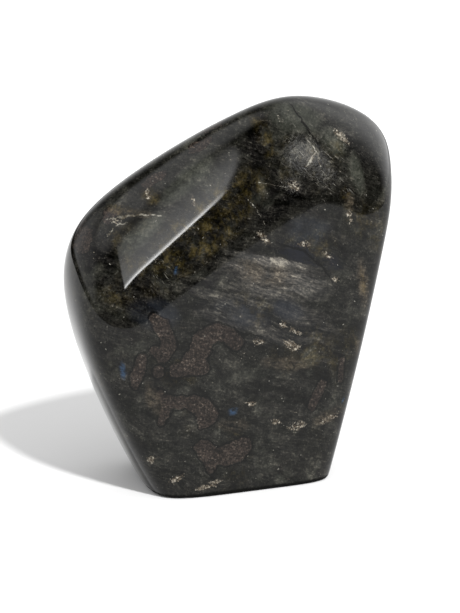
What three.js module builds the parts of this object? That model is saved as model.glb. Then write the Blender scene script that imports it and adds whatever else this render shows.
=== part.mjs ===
// Polished labradorite freeform: one natural stone, ground to soft faces, polished, and cut flat to stand.
// Millimetres, +Z up. The origin is the middle of the flat base, and the broad front face looks along -Y.
import * as THREE from 'three';

// The heart is the point inside the stone that every ground face is measured from.
const HEART = new THREE.Vector3(-4.5, -8.5, 55);

// Each ground face is a very shallow dome. Heading says where it looks (0 is -Y, 90 is +X) and lean how
// far it looks up (down if negative), in degrees. Away is its distance from the heart, dome the radius
// of its crown, and ease the rounding between it and the faces listed before it.
const GROUND_FACES = [
  { name: 'front', heading: 0, lean: 3, away: 11, dome: 1350, ease: 0 },
  { name: 'right flank', heading: 95, lean: -15, away: 44.5, dome: 1450, ease: 16 },
  { name: 'left flank', heading: -96, lean: -18, away: 42.5, dome: 240, ease: 18 },
  { name: 'back', heading: 180, lean: 7, away: 29, dome: 400, ease: 20 },
  { name: 'left bevel', heading: -61, lean: 47, away: 41, dome: 1250, ease: 41 },
  { name: 'crown', heading: 25, lean: 32, away: 41, dome: 950, ease: 12 },
  { name: 'right shoulder', heading: 77, lean: 40, away: 73, dome: 90, ease: 10 },
  { name: 'rear slope', heading: -169, lean: 39, away: 41.5, dome: 450, ease: 25 },
];
const BASE_EASE = 2;

// The mesh is spread out from the stone's middle, with points around it and rings from the base's rim
// to the top. The half sizes keep its facets even on a stone that is wider than it is deep.
const MIDDLE = new THREE.Vector3(1, 0, 52);
const HALF_WIDTH = 48;
const HALF_DEPTH = 22;
const AROUND = 72;
const RINGS = 46;
const CLOSER_AT_RIM = 1.3;
const HALVINGS = 40;

// Looks
const STONE_COLOUR = 0x34352f;
const STONE_ROUGHNESS = 0.14;

function outwardDirection(heading, lean) {
  const turn = THREE.MathUtils.degToRad(heading);
  const rise = THREE.MathUtils.degToRad(lean);
  return new THREE.Vector3(
    Math.sin(turn) * Math.cos(rise),
    -Math.cos(turn) * Math.cos(rise),
    Math.sin(rise),
  );
}

const DOMES = GROUND_FACES.map((face) => ({
  ...face,
  outward: outwardDirection(face.heading, face.lean),
}));

// The larger of two values, eased into one another where they come within the ease of being equal.
function easedMax(a, b, ease) {
  const overlap = Math.max(ease - Math.abs(a - b), 0) / ease;
  return Math.max(a, b) + (ease * overlap ** 3) / 6;
}

// How far a point lies outside one ground face: its height over the face's plane, plus the dome's fall.
function outsideDome(dome, point) {
  const fromHeart = point.clone().sub(HEART);
  const along = fromHeart.dot(dome.outward);
  const acrossSquared = fromHeart.lengthSq() - along * along;
  return along - dome.away + acrossSquared / (2 * dome.dome);
}

function outsideSides(point) {
  const [front, ...others] = DOMES;
  return others.reduce(
    (outside, dome) => easedMax(outside, outsideDome(dome, point), dome.ease),
    outsideDome(front, point),
  );
}

function outsideStone(point) {
  return easedMax(outsideSides(point), -point.z, BASE_EASE);
}

// The point where a ray from inside the body leaves it. The body is convex, so it leaves only once.
function leavingPoint(from, reach, outside) {
  const point = new THREE.Vector3();
  let inside = 0;
  let beyond = 3;
  for (let i = 0; i < HALVINGS; i += 1) {
    const middle = (inside + beyond) / 2;
    point.copy(from).addScaledVector(reach, middle);
    if (outside(point) > 0) {
      beyond = middle;
    } else {
      inside = middle;
    }
  }
  return point;
}

// The rim of the flat base: there the sides stand exactly the base's ease inside themselves.
function rimPoint(turn) {
  const baseMiddle = new THREE.Vector3(MIDDLE.x, MIDDLE.y, 0);
  const reach = new THREE.Vector3(HALF_WIDTH * Math.cos(turn), HALF_DEPTH * Math.sin(turn), 0);
  return leavingPoint(baseMiddle, reach, (point) => outsideSides(point) + BASE_EASE);
}

// A point of the stone above the rim, at a share of the way up from the rim to the top.
function sidePoint(turn, rim, share) {
  const rimReach = Math.hypot((rim.x - MIDDLE.x) / HALF_WIDTH, (rim.y - MIDDLE.y) / HALF_DEPTH);
  const rimAngle = Math.atan2(-1, rimReach);
  const angle = THREE.MathUtils.lerp(rimAngle, Math.PI / 2, share ** CLOSER_AT_RIM);
  const reach = new THREE.Vector3(
    HALF_WIDTH * Math.cos(turn) * Math.cos(angle),
    HALF_DEPTH * Math.sin(turn) * Math.cos(angle),
    MIDDLE.z * Math.sin(angle),
  );
  return leavingPoint(MIDDLE, reach, outsideStone);
}

function stoneGeometry() {
  const points = [];
  for (let column = 0; column < AROUND; column += 1) {
    const turn = (2 * Math.PI * column) / AROUND;
    const rim = rimPoint(turn);
    points.push(rim);
    for (let ring = 1; ring < RINGS; ring += 1) {
      points.push(sidePoint(turn, rim, ring / RINGS));
    }
  }
  const top = points.length;
  points.push(leavingPoint(MIDDLE, new THREE.Vector3(0, 0, MIDDLE.z), outsideStone));
  const baseMiddle = points.length;
  points.push(new THREE.Vector3(MIDDLE.x, MIDDLE.y, 0));

  const triangles = [];
  for (let column = 0; column < AROUND; column += 1) {
    const here = column * RINGS;
    const next = ((column + 1) % AROUND) * RINGS;
    triangles.push(baseMiddle, next, here);
    for (let ring = 0; ring < RINGS - 1; ring += 1) {
      triangles.push(here + ring, next + ring, next + ring + 1);
      triangles.push(here + ring, next + ring + 1, here + ring + 1);
    }
    triangles.push(here + RINGS - 1, next + RINGS - 1, top);
  }

  const geometry = new THREE.BufferGeometry();
  geometry.setFromPoints(points);
  geometry.setIndex(triangles);
  geometry.computeVertexNormals();
  return geometry;
}

function polishedStone() {
  const material = new THREE.MeshStandardMaterial({
    color: STONE_COLOUR,
    roughness: STONE_ROUGHNESS,
    metalness: 0,
  });
  const stone = new THREE.Mesh(stoneGeometry(), material);
  stone.name = 'labradorite';
  return stone;
}

const labradoriteFreeform = new THREE.Group();
labradoriteFreeform.add(polishedStone());

export default labradoriteFreeform;
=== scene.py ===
"""Polished labradorite freeform, standing on a white table in soft studio light.

The stone is ground as a run of shallow domed faces that ease into one another, and its pattern is worked
through the solid stone, so that every side is finished. Sizes are in millimetres until the last step.
"""
import math
from types import SimpleNamespace

import bpy
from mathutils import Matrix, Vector


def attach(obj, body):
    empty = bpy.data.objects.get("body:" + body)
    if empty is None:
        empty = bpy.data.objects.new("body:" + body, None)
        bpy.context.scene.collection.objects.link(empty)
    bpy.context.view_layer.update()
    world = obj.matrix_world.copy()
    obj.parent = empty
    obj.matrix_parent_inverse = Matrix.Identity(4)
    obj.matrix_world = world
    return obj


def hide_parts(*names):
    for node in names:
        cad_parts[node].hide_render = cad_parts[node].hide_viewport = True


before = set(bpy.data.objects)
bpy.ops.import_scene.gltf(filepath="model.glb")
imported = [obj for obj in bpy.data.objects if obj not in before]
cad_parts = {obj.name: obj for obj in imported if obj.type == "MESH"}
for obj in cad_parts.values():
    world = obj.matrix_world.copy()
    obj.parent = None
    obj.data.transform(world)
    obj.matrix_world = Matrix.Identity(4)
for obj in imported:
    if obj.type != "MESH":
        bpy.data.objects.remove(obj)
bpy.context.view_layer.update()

MM = 0.001

# The ground faces: where each looks (0 is -Y, 90 is +X), how far it leans up, its distance from the heart,
# the radius of its dome, and how far it eases into the faces before it.
HEART = (-4.5, -8.5, 55)
GROUND_FACES = [
    ("front", 0, 3, 11, 1350, 0),
    ("right flank", 95, -15, 44.5, 1450, 16),
    ("left flank", -96, -18, 42.5, 240, 18),
    ("back", 180, 7, 29, 400, 20),
    ("left bevel", -61, 47, 41, 1250, 41),
    ("crown", 25, 32, 41, 950, 12),
    ("right shoulder", 77, 40, 73, 90, 10),
    ("rear slope", -169, 39, 41.5, 450, 25),
]
BASE_EASE = 2
MIDDLE = (1, 0, 52)
HALF_SIZES = (48, 22, 52)
MESH_LINES = 128
GRINDING_PASSES = 14
START_REACH = 3
SLOPE_STEP = 0.001


def looking(heading, lean):
    """The unit vector of a heading and a lean in degrees, as the ground faces use them."""
    turn, rise = math.radians(heading), math.radians(lean)
    return Vector((math.sin(turn) * math.cos(rise), -math.cos(turn) * math.cos(rise), math.sin(rise)))


class Wire:
    """A node's outlet, with Python's arithmetic: Math nodes on numbers, Vector Math nodes on vectors."""

    def __init__(self, bench, socket):
        self.bench = bench
        self.socket = socket

    def __add__(self, other):
        return self.bench.work("ADD", self, other)

    def __radd__(self, other):
        return self.bench.work("ADD", other, self)

    def __sub__(self, other):
        return self.bench.work("SUBTRACT", self, other)

    def __rsub__(self, other):
        return self.bench.work("SUBTRACT", other, self)

    def __mul__(self, other):
        return self.bench.work("MULTIPLY", self, other)

    def __rmul__(self, other):
        return self.bench.work("MULTIPLY", other, self)

    def __truediv__(self, other):
        return self.bench.work("DIVIDE", self, other)

    def __rtruediv__(self, other):
        return self.bench.work("DIVIDE", other, self)

    def __pow__(self, other):
        return self.bench.work("POWER", self, other)

    def __abs__(self):
        return self.bench.work("ABSOLUTE", self)


class Bench:
    """A node tree in the making."""

    def __init__(self, tree):
        self.tree = tree

    def make(self, kind, settings=None, sockets=None, outlet=0):
        """One node: its settings, then its sockets by name or number. Returns its outlet, if it has one."""
        node = self.tree.nodes.new(kind)
        for name, value in (settings or {}).items():
            if name == "stops":
                self.set_stops(node.color_ramp, value)
            else:
                setattr(node, name, value)
        for key, value in (sockets or {}).items():
            self.plug(node.inputs[key], value)
        return Wire(self, node.outputs[outlet]) if node.outputs else None

    def set_stops(self, ramp, stops):
        while len(ramp.elements) < len(stops):
            ramp.elements.new(1)
        for element, (place, colour) in zip(ramp.elements, stops):
            element.position = place
            element.color = (*colour, 1)

    def plug(self, socket, value):
        if isinstance(value, Wire):
            self.tree.links.new(value.socket, socket)
        elif socket.type == "RGBA":
            socket.default_value = (*value, 1)
        elif socket.type == "VECTOR" and isinstance(value, (int, float)):
            socket.default_value = (value, value, value)
        else:
            socket.default_value = value

    def work(self, operation, *terms):
        """A sum on wires and plain values, with vectors where any term is one."""
        vectors = [term for term in terms if is_vector(term)]
        numbers = [term for term in terms if not is_vector(term)]
        if vectors and numbers and operation == "MULTIPLY":
            scaled = {0: vectors[0], "Scale": numbers[0]}
            return self.make("ShaderNodeVectorMath", {"operation": "SCALE"}, scaled, "Vector")
        kind = "ShaderNodeVectorMath" if vectors else "ShaderNodeMath"
        outlet = "Value" if operation in ("DOT_PRODUCT", "LENGTH", "DISTANCE") or not vectors else "Vector"
        return self.make(kind, {"operation": operation}, dict(enumerate(terms)), outlet)


def is_vector(term):
    if isinstance(term, Wire):
        return term.socket.type in ("VECTOR", "RGBA")
    return not isinstance(term, (int, float))


# What shows in the stone, in millimetres

# Cleavage planes run down to the right across the front and a little into the stone.
CLEAVAGE_TILT = -19
CLEAVAGE_INTO = looking(184, 8)

# The silvery slab ends in a clean upper face: where that face looks, and how far it is from the origin,
# from the silver under it to the slate over it.
SLAB_UP = Vector((0.245, 0, 0.97))
SLAB_FACE = (65.4, 66.2)

# Scratches run down to the right, and the black painted shade along the stone's foot ends between two
# heights.
SCRATCH_TILT = -44
FOOT_SHADE_HEIGHTS = (0.9, 1.7)

# Each mark fades out between two depths, so that one on the front doesn't come through at the back. The
# hidden inclusions keep behind the front, and far off is a distance that no point is from them.
FORWARD = (-2, -7)
BACKWARD = (3, 8)
NEAR_FRONT = (-6, -10)
BEHIND_FRONT = (-8, -13)
ON_FRONT = (-13, -15)
FAR_OFF = 20

# Brown inclusions that show on the front: knots of X, Z and radius, joined in a chain.
FRONT_INCLUSIONS = {
    "hook foot": [(-22.4, 37.3, 1.7), (-15.0, 37.4, 2.0)],
    "hook": [
        (-18.6, 39.4, 2.3), (-15.2, 42.2, 2.9), (-14.2, 45.2, 2.5), (-10.6, 46.6, 2.1),
        (-7.0, 45.5, 1.8), (-4.9, 43.0, 1.8),
    ],
    "drip": [
        (-28.2, 51.6, 1.2), (-26.3, 49.6, 1.8), (-24.9, 46.5, 1.5), (-24.6, 43.6, 1.7),
        (-26.2, 41.4, 1.5), (-28.6, 43.0, 0.9),
    ],
    "left strip": [(-32.4, 41.6, 1.0), (-33.4, 37.5, 1.4), (-34.4, 33.8, 0.9)],
    "dot": [(-27.8, 37.4, 0.9), (-27.7, 36.6, 0.8)],
    "bat left": [(-27.4, 30.9, 0.6), (-25.2, 28.4, 1.6), (-21.6, 27.8, 1.7)],
    "bat tail": [(-25.6, 27.2, 1.5), (-27.2, 22.8, 0.6)],
    "bat right": [(-18.2, 27.4, 1.7), (-14.6, 25.4, 2.7), (-14.0, 23.6, 2.9), (-15.8, 20.6, 0.4)],
    "twin left": [(-15.2, 14.6, 2.0), (-13.8, 12.6, 2.5), (-12.6, 9.0, 1.4)],
    "twin right": [(-8.8, 11.4, 2.6), (-5.8, 12.2, 3.2), (-3.4, 13.6, 2.4)],
    "right leaf": [(21.4, 28.8, 1.1), (18.4, 23.2, 1.3)],
    "right sliver": [(27.8, 35.4, 0.6), (27.4, 29.6, 0.8)],
}

# Clusters of cream flecks on the front, and one painted highlight on the crown: X, Z, half length, half
# height and tilt.
CREAM_AND_HIGHLIGHT_CLUSTERS = [
    (4.2, 71.6, 4.2, 1.3, -42), (16.2, 69.2, 3.2, 1.3, -8), (23.4, 65.6, 2.6, 1.0, -38),
    (25.8, 58.6, 1.8, 1.2, -10), (9.4, 47.0, 2.0, 1.6, -20), (13.2, 45.0, 3.8, 1.0, -28),
    (1.8, 43.0, 2.8, 1.4, -5), (12.0, 41.0, 4.5, 2.0, -25), (7.0, 19.6, 2.6, 1.0, -5),
    (13.6, 17.8, 4.5, 1.9, 5), (23.6, 18.6, 6.0, 1.5, 17), (-0.5, 25.6, 3.0, 1.0, -8),
    # The first cluster on this line is a painted highlight: the key light's white streak on the crown.
    (19.6, 93.0, 3.0, 0.7, 45), (13.5, 85.5, 2.6, 1.8, -30), (-26.6, 85.0, 1.0, 3.2, 0),
    (-17.5, 94.2, 2.0, 1.5, 30), (-15.2, 82.6, 0.8, 2.4, 0), (-36.0, 77.6, 2.2, 1.0, 0),
    (30, 98, 5, 1.6, -42), (30.6, 76.0, 1.2, 3.0, 15), (-22.6, 6.2, 3.6, 1.3, 30),
    (-13.5, 3.4, 5.5, 1.3, 12), (-29.5, 12.0, 1.4, 2.0, 0),
]

# Fine seams and cracks: knots of X, Z and half width. The pale ones are filled, the dark ones open, except
# the crown streak, which is a painted highlight.
PALE_SEAMS_AND_HIGHLIGHT = {
    "bevel seam": [
        (-38.0, 77.6, 0.05), (-36.2, 78.2, 0.25), (-34.2, 78.4, 0.35), (-32.2, 79.0, 0.25),
        (-29.4, 79.2, 0.1), (-24.0, 78.9, 0.1),
    ],
    "bevel hair": [(-33.0, 77.4, 0.12), (-36.0, 76.2, 0.1), (-38.6, 73.6, 0.08)],
    "crown arc": [(19.0, 97.6, 0.1), (21.4, 94.0, 0.12), (21.8, 90.4, 0.1)],
    # A painted highlight: the key light's white streak on the crown.
    "crown highlight streak": [(17.6, 90.6, 0.1), (19.2, 92.4, 0.34), (20.6, 94.2, 0.1)],
    "band hair": [(1.4, 87.0, 0.0), (6.4, 86.4, 0.03), (12.8, 85.2, 0.0)],
    "band stroke": [(0.0, 83.0, 0.0), (2.4, 79.0, 0.04), (4.6, 75.4, 0.0)],
}
DARK_CRACKS = {
    "crown crack": [(15.6, 107.6, 0.1), (18.0, 102.4, 0.3), (21.4, 97.6, 0.25), (22.8, 93.0, 0.1)],
    "front crack": [(-4.8, 46.4, 0.1), (-1.4, 45.6, 0.25), (3.4, 44.2, 0.1)],
    "slate crack": [(8.0, 70.0, 0.2), (16.0, 67.4, 0.3), (22.6, 61.8, 0.2), (25.0, 57.0, 0.1)],
    "band crack": [(12.0, 80.0, 0.1), (11.0, 84.6, 0.2), (8.0, 90.0, 0.15)],
}

# Soft ovals, most on the front: X, Z, half length, half height and tilt, in degrees up to the right.
SILVER_SLAB = (8, 61.5, 20, 8, -16)
UNDER_SLAB = (3, 50, 30, 9, -20)
SLATE_SLAB = (18, 65.5, 14, 4.5, -22)
GOLD_BANDS = [
    (-12, 76, 28, 9, 38), (-34, 80.2, 5, 1.6, -4), (-26, 84, 3, 3, 60), (6, 99, 3, 8, 10),
    (30, 82, 3, 3, 0),
]
DEEP_PATCHES = [
    (-30, 59, 9, 6, 10), (7, 81, 8, 6, 40), (17, 85, 8, 4, 0), (3.5, 96, 4, 7, -10),
    (-41, 69, 4.5, 10, 0), (14, 66.6, 14, 1.6, -18),
]
# A painted blue-grey sheen of labradorescence on the front.
BLUE_SHEEN = [(-3.5, 51, 11, 4.5, -18), (11, 51, 7, 3.5, -20), (-28, 53, 9, 5, -10), (18, 73, 9, 5, -10)]
PALE_CLOUDS = [
    (16, 104, 10, 5, -12), (27, 97, 6, 4, -40), (33.5, 88, 2.6, 7, 8), (-30, 74, 10, 3, 40),
    (-16, 88, 12, 3, 38),
]
BRIGHT_SLAB = (10, 64.6, 13, 2.6, -15)
BACK_SILVER_SLAB = (-14, 68, 24, 8, -18)
BACK_GOLD_BAND = (8, 42, 26, 9, 32)
WORN_PATCHES = [(18, 94, 10, 9, -30), (13, 85.5, 4, 3, -20), (24, 87, 6, 3.5, -10), (31, 97, 7, 3, -42)]
SCRATCHED_PATCHES = [(22, 92, 17, 13, -30), (-27, 64, 5, 7, 20)]
AMBER_PATCHES = [(-33.8, 79.8, 3.8, 1.2, -6), (34.6, 57, 1.2, 5, 8)]
STAINS = [
    (34.8, 56.5, 2.4, 9, 8), (30.6, 80, 2.0, 3.2, 10), (33.5, 38, 1.5, 3, 0), (24, 19.5, 7, 2.2, 15),
    (3.5, 62, 12, 4.5, -16), (-31, 79.4, 6, 1.5, -3), (-29, 30, 3, 6, 15), (-6, 20, 6, 2, -10),
    (10, 36, 9, 2.5, -10),
]
# Painted sheen: small blue flashes of labradorescence, fixed in the colour.
PAINTED_LABRADORESCENCE_FLASHES = [
    (-37.4, 38, 0.9, 3.0, 8), (-6, 24, 1.6, 1.1, 0), (28.6, 23.4, 0.6, 0.6, 0),
    (-21.6, 64.3, 0.5, 1.2, 0),
]


def eased_step(bench, value, low, high):
    """0 at low, 1 at high, and eased in between."""
    return bench.make(
        "ShaderNodeMapRange",
        {"interpolation_type": "SMOOTHSTEP"},
        {"Value": value, "From Min": low, "From Max": high},
    )


def part(bench, vector, axis):
    """A vector's X, Y or Z."""
    return bench.make("ShaderNodeSeparateXYZ", None, {0: vector}, axis)


def to_chains(bench, front, chains):
    """The distance from the nearest chain of round-ended links that thin or widen from knot to knot."""
    nearest = None
    for knots in chains.values():
        for (x0, z0, r0), (x1, z1, r1) in zip(knots, knots[1:]):
            start, link = Vector((x0, 0, z0)), Vector((x1 - x0, 0, z1 - z0))
            per_length = link / link.length_squared
            share = bench.make(
                "ShaderNodeMath",
                {"operation": "SUBTRACT", "use_clamp": True},
                {0: bench.work("DOT_PRODUCT", front, per_length), 1: start.dot(per_length)},
            )
            away = bench.work("DISTANCE", front - start, share * link) - (r0 + (r1 - r0) * share)
            nearest = away if nearest is None else bench.work("MINIMUM", nearest, away)
    return nearest


def zone(bench, front, x, z, half_length, half_height, tilt):
    """A soft oval on the front: 1 in its middle and 0 outside it. Tilt is in degrees, up to the right."""
    turn = math.radians(tilt)
    offset = front - Vector((x, 0, z))
    across = bench.work("DOT_PRODUCT", offset, Vector((math.cos(turn), 0, math.sin(turn)))) / half_length
    up = bench.work("DOT_PRODUCT", offset, Vector((-math.sin(turn), 0, math.cos(turn)))) / half_height
    return eased_step(bench, across * across + up * up, 1, 0.1)


def highest_zone(bench, front, zones):
    """The strongest of several soft ovals."""
    found = None
    for oval in zones:
        amount = zone(bench, front, *oval)
        found = amount if found is None else bench.work("MAXIMUM", found, amount)
    return found


def pattern_marks(bench, place):
    """What lies where in the stone: named values that the tree leaves on the mesh for the polish."""
    front = place * Vector((1, 0, 1))
    depth = part(bench, place, "Y")
    off_front = 1 - eased_step(bench, depth, *ON_FRONT)
    near_front = eased_step(bench, depth, *NEAR_FRONT)
    forward = eased_step(bench, depth, *FORWARD)
    backward = eased_step(bench, depth, *BACKWARD)
    return {
        "from inclusion": to_chains(bench, front, FRONT_INCLUSIONS) + FAR_OFF * off_front,
        "cream": highest_zone(bench, front, CREAM_AND_HIGHLIGHT_CLUSTERS) * near_front,
        "silver": zone(bench, front, *SILVER_SLAB) * forward,
        "back silver": zone(bench, front, *BACK_SILVER_SLAB) * backward,
        "under": zone(bench, front, *UNDER_SLAB) * forward,
        "slate": zone(bench, front, *SLATE_SLAB) * forward,
        "gold": highest_zone(bench, front, GOLD_BANDS) * forward
        + zone(bench, front, *BACK_GOLD_BAND) * backward,
        "bright": zone(bench, front, *BRIGHT_SLAB) * forward,
        "deep": highest_zone(bench, front, DEEP_PATCHES) * forward,
        "haze": highest_zone(bench, front, BLUE_SHEEN) * forward,
        "pale": highest_zone(bench, front, PALE_CLOUDS),
        "worn": highest_zone(bench, front, WORN_PATCHES) * forward,
        "scratched": highest_zone(bench, front, SCRATCHED_PATCHES) * forward,
        "amber": highest_zone(bench, front, AMBER_PATCHES) * forward,
        "stain": highest_zone(bench, front, STAINS) * forward,
        "blue": highest_zone(bench, front, PAINTED_LABRADORESCENCE_FLASHES) * forward,
    }


# The stone's shape, ground by Geometry Nodes

def eased_max(bench, a, b, ease):
    """The larger of two values, eased into one another where they come within the ease of being equal."""
    overlap = bench.work("MAXIMUM", ease - abs(a - b), 0) / ease
    return bench.work("MAXIMUM", a, b) + ease * overlap ** 3 / 6


def outside_stone(bench, point, size):
    """How far a point lies outside the stone, below zero inside it."""
    from_heart = point - size["heart"]
    reach_squared = bench.work("DOT_PRODUCT", from_heart, from_heart)
    outside = None
    for name, heading, lean, *_ in GROUND_FACES:
        along = bench.work("DOT_PRODUCT", from_heart, looking(heading, lean))
        face = along - size[name + " away"] + (reach_squared - along * along) / (2 * size[name + " dome"])
        outside = face if outside is None else eased_max(bench, outside, face, size[name + " ease"])
    return eased_max(bench, outside, 0 - part(bench, point, "Z"), size["base ease"])


def stone_sizes():
    """The named sizes of the ground stone, which become its tree's inputs."""
    sizes = {"heart": HEART, "middle": MIDDLE, "half sizes": HALF_SIZES, "base ease": BASE_EASE}
    for name, _, _, away, dome, ease in GROUND_FACES:
        sizes[name + " away"] = away
        sizes[name + " dome"] = dome
        if ease:
            sizes[name + " ease"] = ease
    return sizes


def grinding_tree(sizes, polish):
    """A tree that grinds an evenly netted ball down to the stone."""
    tree = bpy.data.node_groups.new("ground stone", "GeometryNodeTree")
    tree.interface.new_socket(name="Stone", in_out="OUTPUT", socket_type="NodeSocketGeometry")
    for name, value in sizes.items():
        kind = "NodeSocketFloat" if isinstance(value, (int, float)) else "NodeSocketVector"
        tree.interface.new_socket(name=name, in_out="INPUT", socket_type=kind)
    bench = Bench(tree)
    entry = tree.nodes.new("NodeGroupInput")
    size = {name: Wire(bench, entry.outputs[name]) for name in sizes}

    lines = {f"Vertices {axis}": MESH_LINES for axis in "XYZ"}
    net = bench.make("GeometryNodeMeshCube", None, {"Size": (2, 2, 2), **lines}, "Mesh")
    place = bench.make("GeometryNodeInputPosition")
    even = bench.work("TANGENT", place * (math.pi / 4))
    capture = tree.nodes.new("GeometryNodeCaptureAttribute")
    capture.capture_items.new("VECTOR", "reach")
    bench.plug(capture.inputs["Geometry"], net)
    bench.plug(capture.inputs["reach"], bench.work("NORMALIZE", even) * size["half sizes"])
    reach = Wire(bench, capture.outputs["reach"])
    ball = Wire(bench, capture.outputs["Geometry"])
    outer = size["middle"] + START_REACH * reach
    beyond = bench.make("GeometryNodeSetPosition", None, {"Geometry": ball, "Position": outer})

    # Each pass moves every point in along its reach, by Newton's rule.
    start = tree.nodes.new("GeometryNodeRepeatInput")
    end = tree.nodes.new("GeometryNodeRepeatOutput")
    start.pair_with_output(end)
    start.inputs["Iterations"].default_value = GRINDING_PASSES
    bench.plug(start.inputs["Geometry"], beyond)
    here = outside_stone(bench, place, size)
    nearer = outside_stone(bench, place - SLOPE_STEP * reach, size)
    slope = bench.work("MAXIMUM", (here - nearer) / SLOPE_STEP, SLOPE_STEP)
    moved = bench.make(
        "GeometryNodeSetPosition",
        None,
        {"Geometry": Wire(bench, start.outputs["Geometry"]), "Position": place - reach * (here / slope)},
    )
    bench.plug(end.inputs["Geometry"], moved)

    ground = Wire(bench, end.outputs["Geometry"])
    for name, value in pattern_marks(bench, place).items():
        kept = {"data_type": "FLOAT", "domain": "POINT"}
        mark = {"Geometry": ground, "Name": name, "Value": value}
        ground = bench.make("GeometryNodeStoreNamedAttribute", kept, mark)
    in_metres = bench.make("GeometryNodeSetPosition", None, {"Geometry": ground, "Position": place * MM})
    smooth = bench.make("GeometryNodeSetShadeSmooth", None, {"Geometry": in_metres})
    real = bench.make("GeometryNodeRealizeInstances", None, {"Geometry": smooth})
    finished = bench.make("GeometryNodeSetMaterial", None, {"Geometry": real, "Material": polish})
    leave = tree.nodes.new("NodeGroupOutput")
    bench.plug(leave.inputs["Stone"], finished)
    return tree


def ground_stone(polish):
    """The stone as one plain closed mesh."""
    sizes = stone_sizes()
    tree = grinding_tree(sizes, polish)
    stone = bpy.data.objects.new("polished_stone", bpy.data.meshes.new("polished_stone"))
    bpy.context.scene.collection.objects.link(stone)
    modifier = stone.modifiers.new("grinding", "NODES")
    modifier.node_group = tree
    for item in tree.interface.items_tree:
        if item.in_out == "INPUT":
            value = sizes[item.name]
            is_number = isinstance(value, (int, float))
            modifier[item.identifier] = float(value) if is_number else [float(number) for number in value]
    depsgraph = bpy.context.evaluated_depsgraph_get()
    mesh = bpy.data.meshes.new_from_object(stone.evaluated_get(depsgraph), depsgraph=depsgraph)
    stone.modifiers.clear()
    stone.data = mesh
    return stone


# The stone's colours and polish

def marked(bench, name):
    """A value that the grinding tree left on the mesh."""
    return bench.make("ShaderNodeAttribute", {"attribute_name": name}, None, "Fac")


def noise(bench, where, size, detail=3.0, rough=0.55, outlet=0):
    """Cloudy noise whose lumps are about that many millimetres across, from 0 to 1."""
    sockets = {"Vector": where, "Scale": 1 / size, "Detail": detail, "Roughness": rough}
    return bench.make("ShaderNodeTexNoise", None, sockets, outlet)


def cells(bench, where):
    """The distance to the nearest of many points, strewn about one unit apart."""
    return bench.make("ShaderNodeTexVoronoi", None, {"Vector": where, "Scale": 1.0}, "Distance")


def centred(bench, colour):
    """A noise's colour as a vector about zero."""
    return bench.work("SUBTRACT", colour, (0.5, 0.5, 0.5))


def blend(bench, amount, under, over):
    """Two colours mixed by an amount."""
    return bench.make("ShaderNodeMix", {"data_type": "RGBA"}, {0: amount, 6: under, 7: over}, 2)


def ramp(bench, value, *stops):
    """A colour that runs through the given stops of place and colour."""
    return bench.make("ShaderNodeValToRGB", {"stops": stops}, {0: value})


def along_cleavage(bench, place, length, depth, thickness, tilt=CLEAVAGE_TILT):
    """Coordinates that stretch a texture along the stone's cleavage, or along another tilt."""
    along, into = looking(90, tilt), CLEAVAGE_INTO
    axes = ((along, length), (into, depth), (into.cross(along).normalized(), thickness))
    x, y, z = (bench.work("DOT_PRODUCT", place, axis) / size for axis, size in axes)
    return bench.make("ShaderNodeCombineXYZ", None, {0: x, 1: y, 2: z})


def stone_textures(bench):
    """The places and textures that the layers of the stone share."""
    place = bench.make("ShaderNodeTexCoord", None, None, "Object") * (1 / MM)
    # Slow and quick bends, which keep every layer from running straight.
    slow = centred(bench, noise(bench, place, 16, 1.0, 0.5, 1))
    quick = centred(bench, noise(bench, place, 2.2, 3.0, 0.6, 1))
    bent = place + slow * 7 + quick * 1.6
    combed = place + slow * 4 + quick * 0.7
    ragged = place + quick * 1.9
    return SimpleNamespace(
        place=place,
        combed=combed,
        ragged=ragged,
        bent=bent,
        front=ragged * Vector((1, 0, 1)),
        depth=part(bench, place, "Y"),
        cloud=noise(bench, bent, 17, 2.0),
        mottle=noise(bench, bent, 4.2, 8.0, 0.72),
        lumps=noise(bench, bent, 3.4, 7.0, 0.74),
        wide_cloud=noise(bench, place + Vector((31, 7, 13)), 15, 1.0),
        grain=noise(bench, place, 0.7, 4.0, 0.75),
        grit=noise(bench, place, 0.55, 2.0, 0.7),
        fibre=noise(bench, along_cleavage(bench, combed, 2.6, 1.7, 0.55), 1, 5.0, 0.72),
        bands=noise(bench, along_cleavage(bench, combed, 15, 9, 2.3), 1, 3.0, 0.6),
    )


def olive_feldspar(bench, tex):
    """The body of the stone: near-black olive feldspar with paler clouds of grey green."""
    tone = tex.cloud * 0.5 + tex.mottle * 0.9 + tex.grain * 0.95 + tex.fibre * 0.6 - 1.005
    body = ramp(
        bench,
        tone - marked(bench, "gold") * 0.12 - marked(bench, "deep") * 0.3,
        (0.15, (0.0003, 0.0003, 0.0002)),
        (0.4, (0.0032, 0.0032, 0.0024)),
        (0.62, (0.0088, 0.0088, 0.0069)),
        (0.9, (0.055, 0.052, 0.04)),
    )
    clouds = eased_step(bench, noise(bench, tex.bent, 8.5, 4.0, 0.6), 0.52, 0.7)
    cloud_colour = ramp(
        bench,
        tex.mottle * 0.6 + tex.grain * 0.4,
        (0.38, (0.01, 0.0105, 0.008)),
        (0.5, (0.032, 0.034, 0.027)),
        (0.62, (0.075, 0.075, 0.06)),
    )
    return blend(bench, clouds * 0.28 + marked(bench, "pale") * 0.75, body, cloud_colour)


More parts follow.
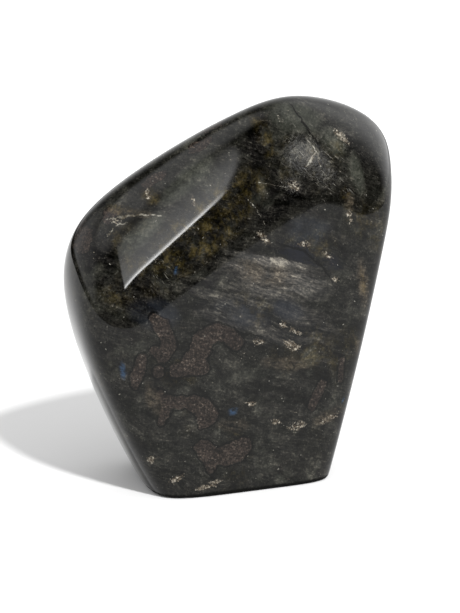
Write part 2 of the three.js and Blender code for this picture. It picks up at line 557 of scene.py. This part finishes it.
def cleavage_slabs(bench, tex, colour):
    """A silvery slab with a clean upper face, a slate blue one over it, and a painted blue-grey sheen of
    labradorescence under it.
    """
    up_slab = bench.work("DOT_PRODUCT", tex.front, SLAB_UP)
    below, above = SLAB_FACE
    silver = marked(bench, "silver") * eased_step(bench, up_slab, above, below)
    silver = silver + marked(bench, "back silver") * 1.2
    under = marked(bench, "under")
    streaked = eased_step(bench, tex.bands, 0.36, 0.58)
    glow = silver * (0.45 + 0.55 * streaked) + under * streaked * 0.35 + 0.1 * streaked
    silver_colour = ramp(
        bench,
        tex.fibre * 0.8 + tex.grain * 0.4 + tex.mottle * 0.5 - 0.35 + marked(bench, "bright") * 0.07,
        (0.3, (0.008, 0.008, 0.0078)),
        (0.46, (0.034, 0.033, 0.031)),
        (0.58, (0.09, 0.083, 0.072)),
        (0.74, (0.36, 0.33, 0.27)),
    )
    colour = blend(bench, bench.work("MINIMUM", glow, 1), colour, silver_colour)
    slate = marked(bench, "slate") * eased_step(bench, up_slab, below, above) + under * tex.cloud * 0.5
    slate = slate * eased_step(bench, tex.mottle + tex.bands * 0.4, 0.8, 0.55)
    colour = blend(bench, slate * 0.75, colour, (0.0085, 0.0095, 0.0135))
    # Painted sheen: a blue-grey tint where the labradorescence would shine.
    haze = marked(bench, "haze") * eased_step(bench, tex.cloud * 0.5 + tex.mottle * 0.5, 0.36, 0.56)
    return blend(bench, haze * 0.5, colour, (0.0155, 0.0185, 0.0255))


def golden_feldspar(bench, tex, colour):
    """Golden brown feldspar, behind the edge of the bevel and in lumps all through the stone."""
    in_clouds = eased_step(bench, tex.wide_cloud, 0.52, 0.72) * 0.6
    golden = bench.work("MAXIMUM", in_clouds, marked(bench, "gold"))
    golden = golden * eased_step(bench, tex.lumps, 0.42, 0.6) * (1 - marked(bench, "deep") * 0.75)
    gold_colour = ramp(
        bench,
        tex.mottle * 0.7 + tex.grain * 0.3,
        (0.4, (0.0015, 0.0012, 0.0004)),
        (0.5, (0.018, 0.0138, 0.004)),
        (0.62, (0.085, 0.064, 0.024)),
    )
    return blend(bench, golden * 0.85, colour, gold_colour)


def brown_inclusions(bench, tex, colour):
    """Brown inclusions with a dark skin and a speckled heart: the colour, and how far inside one it is."""
    ragged_edge = noise(bench, tex.place, 1.8, 4.0, 0.65) * 0.4 + noise(bench, tex.place, 4.5, 2.0) * 0.6
    from_chain = marked(bench, "from inclusion") + (ragged_edge - 0.5) * 3.4 - 0.25
    lump = cells(bench, along_cleavage(bench, tex.bent, 19, 14, 11))
    from_lump = (lump - 0.3) * 14 + (tex.wide_cloud - 0.5) * 14 + (ragged_edge - 0.5) * 9
    from_lump = from_lump + FAR_OFF * eased_step(bench, tex.depth, *BEHIND_FRONT)
    away = bench.work("MINIMUM", from_chain, from_lump)
    inside = eased_step(bench, away, 0.15, -0.15)
    skin = eased_step(bench, abs(away - 0.3), 0.45, 0.1)
    heart = ramp(
        bench,
        tex.grit * 0.36 + tex.grain * 0.18 + tex.fibre * 0.31 + tex.mottle * 0.15,
        (0.4, (0.0035, 0.0029, 0.0025)),
        (0.49, (0.0125, 0.0098, 0.0082)),
        (0.56, (0.032, 0.024, 0.0192)),
        (0.67, (0.12, 0.09, 0.07)),
    )
    colour = blend(bench, skin * 0.8, colour, (0.0015, 0.0015, 0.0014))
    return blend(bench, inside, colour, heart), inside


def cream_flecks_and_highlight(bench, tex, colour):
    """Cream flecks, clustered on the front and sprinkled everywhere, and one painted highlight on the
    crown: the colour, and how much is fleck and highlight.
    """
    sprinkle = eased_step(bench, noise(bench, tex.place, 9, 2.0), 0.5, 0.75) * 0.35
    # The clusters include the painted highlight on the crown.
    clusters = bench.work("MAXIMUM", sprinkle, marked(bench, "cream"))
    fleck_and_highlight = eased_step(bench, tex.fibre * 0.5 + tex.grit * 0.5 + clusters * 0.22, 0.63, 0.76) * 0.85
    fleck_colour = ramp(
        bench,
        tex.grain,
        (0.38, (0.03, 0.02, 0.012)),
        (0.52, (0.12, 0.1, 0.072)),
        (0.66, (0.62, 0.57, 0.48)),
    )
    return blend(bench, fleck_and_highlight, colour, fleck_colour), fleck_and_highlight


def stains(bench, tex, colour):
    """Tan stains over much of the front, and amber ones by the bevel seam and the right-hand edge."""
    tan = marked(bench, "stain") * eased_step(bench, tex.mottle, 0.36, 0.6)
    tan_colour = ramp(
        bench,
        tex.fibre * 0.6 + tex.grain * 0.4,
        (0.38, (0.008, 0.0065, 0.0045)),
        (0.52, (0.045, 0.036, 0.025)),
        (0.68, (0.17, 0.135, 0.095)),
    )
    colour = blend(bench, tan * 0.7, colour, tan_colour)
    amber = marked(bench, "amber") * eased_step(bench, tex.mottle * 0.6 + tex.grit * 0.4, 0.44, 0.6)
    return blend(bench, amber * 0.6, colour, (0.09, 0.066, 0.03))


def dust_glints_and_scratches(bench, tex, colour):
    """Pale dust everywhere, specks that are painted glints, and hairline scratches and curled hairs where
    the stone is worn.
    """
    # Painted glints: tiny pale points that stand in for sparkles of reflected light.
    painted_glints = eased_step(bench, cells(bench, tex.ragged / 3.2), 0.07, 0.035)
    dust = eased_step(bench, tex.grit * 0.7 + tex.mottle * 0.3, 0.56, 0.72) * 0.28
    scratch = noise(bench, along_cleavage(bench, tex.combed, 4.2, 3, 0.34, SCRATCH_TILT), 1, 3.0, 0.65)
    scratches = eased_step(bench, scratch, 0.62, 0.7) * marked(bench, "scratched")
    hairs = eased_step(bench, abs(tex.lumps - 0.5), 0.012, 0.003) * marked(bench, "worn")
    hairs = hairs * eased_step(bench, tex.mottle, 0.44, 0.56) * 0.9
    glints_and_dust = bench.work("MAXIMUM", painted_glints, dust)
    lines = bench.work("MAXIMUM", scratches, hairs)
    return blend(bench, bench.work("MAXIMUM", glints_and_dust, lines) * 0.7, colour, (0.22, 0.21, 0.18))


def seams_cracks_and_highlight(bench, tex, colour):
    """Dark open cracks and pale filled seams on the front, and a painted highlight streak on the crown."""
    forward = eased_step(bench, tex.depth, *FORWARD)
    dark = to_chains(bench, tex.front, DARK_CRACKS) + (tex.mottle - 0.5) * 0.8
    dark = eased_step(bench, dark, 0.2, -0.1) * forward
    colour = blend(bench, dark * 0.8, colour, (0.001, 0.001, 0.0009))
    # The pale chains also paint the key light's highlight streak on the crown.
    pale = to_chains(bench, tex.front, PALE_SEAMS_AND_HIGHLIGHT) + (tex.grain - 0.5) * 1.4
    pale = eased_step(bench, pale, 0.08, -0.12) * forward
    pale_colour = ramp(bench, tex.mottle, (0.4, (0.06, 0.048, 0.028)), (0.6, (0.42, 0.4, 0.34)))
    return blend(bench, pale * 0.6, colour, pale_colour)


def painted_labradorescence_flashes(bench, tex, colour):
    """Small blue flashes of labradorescence, a sheen painted into the colour."""
    blue = marked(bench, "blue") * eased_step(bench, tex.fibre, 0.36, 0.56)
    return blend(bench, blue * 0.6, colour, (0.028, 0.062, 0.12))


def polished_surface(bench, tex, colour, inside, fleck_and_highlight):
    """The polish: nearly a mirror, duller on the inclusions and flecks, and pitted on the worn crown."""
    worn = marked(bench, "worn")
    smear = noise(bench, tex.place, 6, 3.0)
    roughness = 0.015 + 0.05 * smear * tex.mottle + 0.06 * tex.grain * tex.mottle
    waves = noise(bench, tex.place, 9, 0.0) * 0.006
    pits = noise(bench, tex.place, 0.9, 3.0, 0.7) * (0.001 + 0.065 * worn)
    bump = {"Strength": 1.0, "Distance": MM, "Height": waves + pits}
    surface = {
        "Base Color": colour,
        "Roughness": roughness + 0.07 * inside + 0.12 * fleck_and_highlight + 0.04 * worn,
        "IOR": 1.56,
        "Specular IOR Level": 0.18,
        "Normal": bench.make("ShaderNodeBump", None, bump, "Normal"),
    }
    return bench.make("ShaderNodeBsdfPrincipled", None, surface)


def painted_foot_shade(bench):
    """The base and its edge, dull and painted black as the shade where the stone meets the table."""
    surface = {"Base Color": (0.004, 0.004, 0.0035), "Roughness": 0.7, "Specular IOR Level": 0.05}
    return bench.make("ShaderNodeBsdfPrincipled", None, surface)


def polished_labradorite():
    material = bpy.data.materials.new("polished labradorite")
    material.use_nodes = True
    material.node_tree.nodes.clear()
    bench = Bench(material.node_tree)
    tex = stone_textures(bench)
    colour = olive_feldspar(bench, tex)
    colour = cleavage_slabs(bench, tex, colour)
    colour = golden_feldspar(bench, tex, colour)
    colour, inside = brown_inclusions(bench, tex, colour)
    colour, fleck_and_highlight = cream_flecks_and_highlight(bench, tex, colour)
    colour = stains(bench, tex, colour)
    colour = dust_glints_and_scratches(bench, tex, colour)
    colour = seams_cracks_and_highlight(bench, tex, colour)
    colour = painted_labradorescence_flashes(bench, tex, colour)
    polished = polished_surface(bench, tex, colour, inside, fleck_and_highlight)
    # Painted shade: up to a ragged height over the table, the stone is black and dull as in its contact
    # shade.
    low, high = FOOT_SHADE_HEIGHTS
    foot_shade = eased_step(bench, part(bench, tex.place, "Z") + (tex.grain - 0.5), high, low)
    both = bench.make("ShaderNodeMixShader", None, {0: foot_shade, 1: polished, 2: painted_foot_shade(bench)})
    bench.make("ShaderNodeOutputMaterial", None, {"Surface": both})
    return material


# The camera looks a little down on the stone and from its left.
CAMERA_HEADING = -22
CAMERA_RISE = 12
CAMERA_DISTANCE = 480
CAMERA_TARGET = (-2, -8.5, 51)
LENS = 100


def place_camera():
    data = bpy.data.cameras.new("camera")
    data.lens = LENS
    camera = bpy.data.objects.new("camera", data)
    towards = looking(CAMERA_HEADING, CAMERA_RISE)
    camera.location = (Vector(CAMERA_TARGET) + CAMERA_DISTANCE * towards) * MM
    camera.rotation_euler = (-towards).to_track_quat("-Z", "Y").to_euler()
    bpy.context.scene.collection.objects.link(camera)
    bpy.context.scene.camera = camera


# The studio: where each light lies as seen from the stone, by heading and rise in degrees. A soft light
# also has its even core, how far it reaches, both in degrees, and its glow. Only the right wall's light
# comes down to the table's edge. The others stop at the gap over it.
KEY_HEADING = 7.2
KEY_RISE = 44.3
KEY_SPREAD = 5
KEY_POWER = 3.3
AIR_GLOW = 0.9
SOFTBOX_CORNERS = [(-8, 14.3), (6, 18.6), (-36, 63), (-76, 50)]
SOFTBOX_EDGE = 0.014
SOFTBOX_FADE = 0.62
SOFTBOX_HOT_EDGE = 0.065
SOFTBOX_COOL_CORNER = (0.01, 0.05)
SOFTBOX_GLOW = 6.8
SOFTBOX_HOT = 75
SOFT_LIGHTS = {
    "crown light": (26, 17, 4, 10, 5.6),
    "upper left": (-70, 62, 14, 32, 2.0),
    "upper right": (70, 55, 14, 38, 1.2),
    "left wall": (-112, 8, 24, 50, 1.1),
    "back wall": (138, 18, 30, 66, 1.3),
}
RIGHT_WALL = (100, 6, 8, 34, 1.6)
GAP_RISE = (3.5, 6.5)
PAPER_WHITE = 1.2
TABLE_REACH = 30


def sunlight():
    """The key light, small enough for a crisp shadow and kept out of the polish."""
    lamp = bpy.data.lights.new("key_light", "SUN")
    lamp.energy = KEY_POWER
    lamp.angle = math.radians(KEY_SPREAD)
    light = bpy.data.objects.new("key_light", lamp)
    light.rotation_euler = looking(KEY_HEADING, KEY_RISE).to_track_quat("Z", "Y").to_euler()
    light.visible_glossy = False
    bpy.context.scene.collection.objects.link(light)


def white_table():
    """A wide white table top under the stone."""
    material = bpy.data.materials.new("white table")
    material.use_nodes = True
    material.node_tree.nodes.clear()
    bench = Bench(material.node_tree)
    top = bench.make(
        "ShaderNodeBsdfPrincipled",
        None,
        {"Base Color": (0.8, 0.8, 0.8), "Roughness": 0.9, "Specular IOR Level": 0.0},
    )
    bench.make("ShaderNodeOutputMaterial", None, {"Surface": top})
    mesh = bpy.data.meshes.new("table")
    corners = [(TABLE_REACH * x, TABLE_REACH * y, 0) for x, y in ((-1, -1), (1, -1), (1, 1), (-1, 1))]
    mesh.from_pydata(corners, [], [(0, 1, 2, 3)])
    mesh.materials.append(material)
    table = bpy.data.objects.new("table", mesh)
    bpy.context.scene.collection.objects.link(table)


def softbox_glow(bench, sight):
    """A softbox with straight edges, hot along its lowest one and fading away from it."""
    corners = [looking(heading, rise) for heading, rise in SOFTBOX_CORNERS]
    inside = 1
    for corner, following in zip(corners, corners[1:] + corners[:1]):
        edge = corner.cross(following).normalized()
        depth = bench.work("DOT_PRODUCT", sight, edge)
        if corner == corners[0]:
            over_lowest = depth
        inside = inside * eased_step(bench, depth, 0, SOFTBOX_EDGE)
    fade = bench.work("MAXIMUM", 1 - over_lowest / SOFTBOX_FADE, 0)
    hot = bench.work("MAXIMUM", 1 - over_lowest / SOFTBOX_HOT_EDGE, 0) ** 3
    hot = hot * eased_step(bench, bench.work("DISTANCE", sight, corners[1]), *SOFTBOX_COOL_CORNER)
    return inside * (SOFTBOX_GLOW * fade + SOFTBOX_HOT * hot)


def soft_light(bench, sight, heading, rise, core, reach, glow):
    """A round light, even over its core and fading out at its reach, both in degrees from its middle."""
    nearness = bench.work("DOT_PRODUCT", sight, looking(heading, rise))
    return glow * eased_step(bench, nearness, math.cos(math.radians(reach)), math.cos(math.radians(core)))


def studio_air():
    """White to the camera, even to the table and the stone's body, and a dark studio to its polish."""
    world = bpy.data.worlds.new("studio")
    world.use_nodes = True
    world.node_tree.nodes.clear()
    bench = Bench(world.node_tree)
    sight = bench.make("ShaderNodeTexCoord", None, None, "Generated")
    studio = softbox_glow(bench, sight)
    for light in SOFT_LIGHTS.values():
        studio = studio + soft_light(bench, sight, *light)
    gap = [math.sin(math.radians(rise)) for rise in GAP_RISE]
    studio = studio * eased_step(bench, part(bench, sight, "Z"), *gap)
    studio = studio + soft_light(bench, sight, *RIGHT_WALL)
    mirrored = bench.make("ShaderNodeLightPath", None, None, "Is Glossy Ray")
    seen = bench.make("ShaderNodeLightPath", None, None, "Is Camera Ray")
    strength = seen * PAPER_WHITE + (1 - seen) * (mirrored * studio + (1 - mirrored) * AIR_GLOW)
    air = bench.make("ShaderNodeBackground", None, {"Color": (1, 1, 1), "Strength": strength})
    bench.make("ShaderNodeOutputWorld", None, {"Surface": air})
    bpy.context.scene.world = world


place_camera()
stone = ground_stone(polished_labradorite())
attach(stone, "root")
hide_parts("labradorite")

white_table()
studio_air()
sunlight()
bpy.context.scene.view_settings.view_transform = "Standard"
